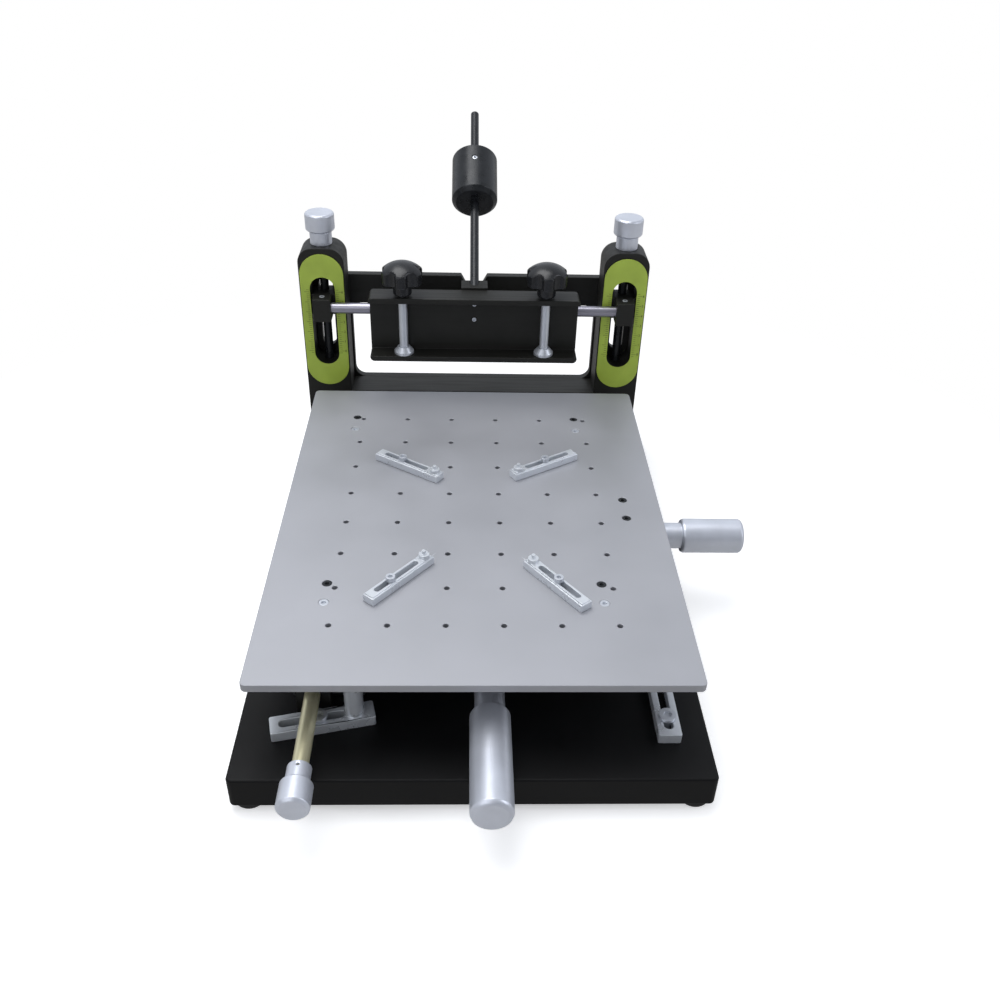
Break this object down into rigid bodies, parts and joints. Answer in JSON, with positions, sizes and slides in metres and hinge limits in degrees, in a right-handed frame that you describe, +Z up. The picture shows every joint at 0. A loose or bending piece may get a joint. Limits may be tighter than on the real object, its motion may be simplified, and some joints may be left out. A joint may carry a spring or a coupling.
{
  "type": "tabletop screen printing press",
  "caption": "Bench press for stencil frames: hinged frame clamp with counterweight on two posts, over a perforated table with screw driven X, Y and angle adjustment.",
  "frame": {"origin": "on the bench, midway between the four feet", "axes": "+Z up, +Y away from the user towards the posts, +X to the user's right"},
  "size_m": [0.381, 0.6699, 0.2985],
  "materials": {
    "black_steel": "black powder coat, fine texture",
    "black_aluminium": "black anodised",
    "blasted_aluminium": "bead blasted and clear anodised",
    "milled_aluminium": "milled",
    "turned_aluminium": "turned, clear anodised",
    "ground_steel": "ground and hard chromed",
    "zinc_steel": "bright zinc",
    "yellow_zinc_steel": "yellow passivated zinc",
    "nickel_steel": "bright nickel",
    "black_oxide_steel": "black oxide, oiled",
    "brass": "machined",
    "green_label": "satin laminated label",
    "black_phenolic": "moulded, half gloss",
    "rubber": "moulded",
    "nylon": "turned nylon"
  },
  "bodies": {
    "base": {"base_tray": "black_steel", "rubber_feet": "rubber", "glide_pads": "nylon", "pivot_pin": "ground_steel", "tie_beam": "black_aluminium", "left_post": "black_aluminium", "right_post": "black_aluminium", "scale_labels": "green_label", "lift_bushes": "turned_aluminium", "back_plate": "black_steel", "frame_screws": "black_oxide_steel", "angle_bracket": "black_aluminium"},
    "swivel": {"swivel_plate": "milled_aluminium", "y_rods": "ground_steel", "y_rod_blocks": "milled_aluminium", "y_screw_bracket": "milled_aluminium"},
    "saddle": {"saddle_plate": "milled_aluminium", "y_bearing_blocks": "milled_aluminium", "x_rods": "ground_steel", "x_rod_blocks": "milled_aluminium", "saddle_nuts": "brass"},
    "table": {"table_plate": "blasted_aluminium", "x_bearing_blocks": "milled_aluminium", "x_screw_block": "milled_aluminium", "table_screws_black": "black_oxide_steel", "table_screws_zinc": "zinc_steel"},
    "y_drive": {"y_screw": "ground_steel", "y_handle": "turned_aluminium"},
    "x_drive": {"x_screw": "ground_steel", "x_handle": "turned_aluminium"},
    "angle_drive": {"angle_screw": "yellow_zinc_steel", "angle_knob": "turned_aluminium"},
    "angle_slide": {"angle_nut": "brass"},
    "left_lift": {"left_lift_screw": "turned_aluminium"},
    "right_lift": {"right_lift_screw": "turned_aluminium"},
    "left_carrier": {"left_slider": "black_aluminium"},
    "right_carrier": {"right_slider": "black_aluminium"},
    "clamp": {"clamp_channel": "black_aluminium", "hinge_shaft": "ground_steel", "rod_block": "black_aluminium", "counter_rod": "black_oxide_steel"},
    "left_foot": {"left_pad": "zinc_steel"},
    "right_foot": {"right_pad": "zinc_steel"},
    "left_clamp_screw": {"left_spindle": "zinc_steel", "left_star_knob": "black_phenolic"},
    "right_clamp_screw": {"right_spindle": "zinc_steel", "right_star_knob": "black_phenolic"},
    "weight": {"counterweight": "black_oxide_steel"},
    "pin_front_left": {"arm_screw_front_left": "zinc_steel"},
    "locator_front_left": {"arm_front_left": "nickel_steel"},
    "pin_front_right": {"arm_screw_front_right": "zinc_steel"},
    "locator_front_right": {"arm_front_right": "nickel_steel"},
    "pin_rear_left": {"arm_screw_rear_left": "zinc_steel"},
    "locator_rear_left": {"arm_rear_left": "nickel_steel"},
    "pin_rear_right": {"arm_screw_rear_right": "zinc_steel"},
    "locator_rear_right": {"arm_rear_right": "nickel_steel"},
    "left_bar_pin": {"left_bar_screw": "zinc_steel"},
    "left_locator_bar": {"left_bar": "nickel_steel"},
    "right_bar_pin": {"right_bar_screw": "zinc_steel"},
    "right_locator_bar": {"right_bar": "nickel_steel"}
  },
  "joints": [
    {"name": "angle_knob_turn", "type": "hinge", "parent": "base", "child": "angle_drive", "pos_m": [-0.111, -0.18, 0.0475], "axis": [0, 1, 0], "range_deg": [-1674, 1674]},
    {"name": "angle_nut_slide", "type": "slide", "parent": "base", "child": "angle_slide", "axis": [0, 1, 0], "range_m": [-0.00581, 0.00581]},
    {"name": "swivel_turn", "type": "hinge", "parent": "base", "child": "swivel", "pos_m": [0, -0.022, 0.0361], "axis": [0, 0, 1], "range_deg": [-3, 3]},
    {"name": "y_handle_turn", "type": "hinge", "parent": "swivel", "child": "y_drive", "pos_m": [0.0105, -0.137, 0.0451], "axis": [0, 1, 0], "range_deg": [-1800, 1800]},
    {"name": "saddle_slide", "type": "slide", "parent": "swivel", "child": "saddle", "axis": [0, 1, 0], "range_m": [-0.01, 0.01]},
    {"name": "x_handle_turn", "type": "hinge", "parent": "table", "child": "x_drive", "pos_m": [0.121, -0.022, 0.0636], "axis": [1, 0, 0], "range_deg": [-1800, 1800]},
    {"name": "table_slide", "type": "slide", "parent": "saddle", "child": "table", "axis": [1, 0, 0], "range_m": [-0.01, 0.01]},
    {"name": "left_lift_turn", "type": "hinge", "parent": "base", "child": "left_lift", "pos_m": [-0.1405, 0.2135, 0.22], "axis": [0, 0, 1], "range_deg": [-8064, 2016]},
    {"name": "right_lift_turn", "type": "hinge", "parent": "base", "child": "right_lift", "pos_m": [0.1405, 0.2135, 0.22], "axis": [0, 0, 1], "range_deg": [-8064, 2016]},
    {"name": "left_lift_slide", "type": "slide", "parent": "base", "child": "left_carrier", "axis": [0, 0, 1], "range_m": [-0.028, 0.007]},
    {"name": "right_lift_slide", "type": "slide", "parent": "base", "child": "right_carrier", "axis": [0, 0, 1], "range_m": [-0.028, 0.007]},
    {"name": "clamp_hinge", "type": "hinge", "parent": "left_carrier", "child": "clamp", "pos_m": [-0.1405, 0.191, 0.166], "axis": [-1, 0, 0], "range_deg": [-5, 36]},
    {"name": "weight_slide", "type": "slide", "parent": "clamp", "child": "weight", "axis": [0, 0.866, 0.5], "range_m": [-0.045, 0.055]},
    {"name": "left_pad_slide", "type": "slide", "parent": "clamp", "child": "left_foot", "axis": [0, 0, 1], "range_m": [0, 0.025]},
    {"name": "left_screw_turn", "type": "hinge", "parent": "left_foot", "child": "left_clamp_screw", "pos_m": [-0.065, 0.1715, 0.186], "axis": [0, 0, 1], "range_deg": [0, 7200]},
    {"name": "right_pad_slide", "type": "slide", "parent": "clamp", "child": "right_foot", "axis": [0, 0, 1], "range_m": [0, 0.025]},
    {"name": "right_screw_turn", "type": "hinge", "parent": "right_foot", "child": "right_clamp_screw", "pos_m": [0.065, 0.1715, 0.186], "axis": [0, 0, 1], "range_deg": [0, 7200]},
    {"name": "front_left_swing", "type": "hinge", "parent": "table", "child": "pin_front_left", "pos_m": [-0.06, -0.122, 0.0901], "axis": [0, 0, 1], "continuous": true},
    {"name": "front_left_slide", "type": "slide", "parent": "pin_front_left", "child": "locator_front_left", "axis": [0.6428, 0.766, 0], "range_m": [-0.02596, 0.01354]},
    {"name": "front_right_swing", "type": "hinge", "parent": "table", "child": "pin_front_right", "pos_m": [0.06, -0.122, 0.0901], "axis": [0, 0, 1], "continuous": true},
    {"name": "front_right_slide", "type": "slide", "parent": "pin_front_right", "child": "locator_front_right", "axis": [-0.6018, 0.7986, 0], "range_m": [-0.01892, 0.02058]},
    {"name": "rear_left_swing", "type": "hinge", "parent": "table", "child": "pin_rear_left", "pos_m": [-0.06, 0.038, 0.0901], "axis": [0, 0, 1], "continuous": true},
    {"name": "rear_left_slide", "type": "slide", "parent": "pin_rear_left", "child": "locator_rear_left", "axis": [0.829, -0.5592, 0], "range_m": [-0.0234, 0.0161]},
    {"name": "rear_right_swing", "type": "hinge", "parent": "table", "child": "pin_rear_right", "pos_m": [0.06, 0.038, 0.0901], "axis": [0, 0, 1], "continuous": true},
    {"name": "rear_right_slide", "type": "slide", "parent": "pin_rear_right", "child": "locator_rear_right", "axis": [-0.848, -0.5299, 0], "range_m": [-0.01764, 0.02186]},
    {"name": "left_bar_swing", "type": "hinge", "parent": "base", "child": "left_bar_pin", "pos_m": [-0.106, -0.1975, 0.03], "axis": [0, 0, 1], "range_deg": [-8, 8]},
    {"name": "left_bar_slide", "type": "slide", "parent": "left_bar_pin", "child": "left_locator_bar", "axis": [0.9744, 0.225, 0], "range_m": [-0.006, 0.012]},
    {"name": "right_bar_swing", "type": "hinge", "parent": "base", "child": "right_bar_pin", "pos_m": [0.133, -0.1975, 0.03], "axis": [0, 0, 1], "range_deg": [-10, 10]},
    {"name": "right_bar_slide", "type": "slide", "parent": "right_bar_pin", "child": "right_locator_bar", "axis": [0, 1, 0], "range_m": [-0.028, 0.003]}
  ],
  "couplings": [
    {"joint": "angle_nut_slide", "follows": "swivel_turn", "m_per_rad": -0.111},
    {"joint": "angle_knob_turn", "follows": "swivel_turn", "ratio": -557.95},
    {"joint": "y_handle_turn", "follows": "saddle_slide", "rad_per_m": 3141.6},
    {"joint": "x_handle_turn", "follows": "table_slide", "rad_per_m": 3141.6},
    {"joint": "left_lift_turn", "follows": "left_lift_slide", "rad_per_m": 5026.5},
    {"joint": "right_lift_turn", "follows": "left_lift_slide", "rad_per_m": 5026.5},
    {"joint": "right_lift_slide", "follows": "left_lift_slide", "ratio": 1},
    {"joint": "left_screw_turn", "follows": "left_pad_slide", "rad_per_m": 5026.5},
    {"joint": "right_screw_turn", "follows": "right_pad_slide", "rad_per_m": 5026.5}
  ]
}
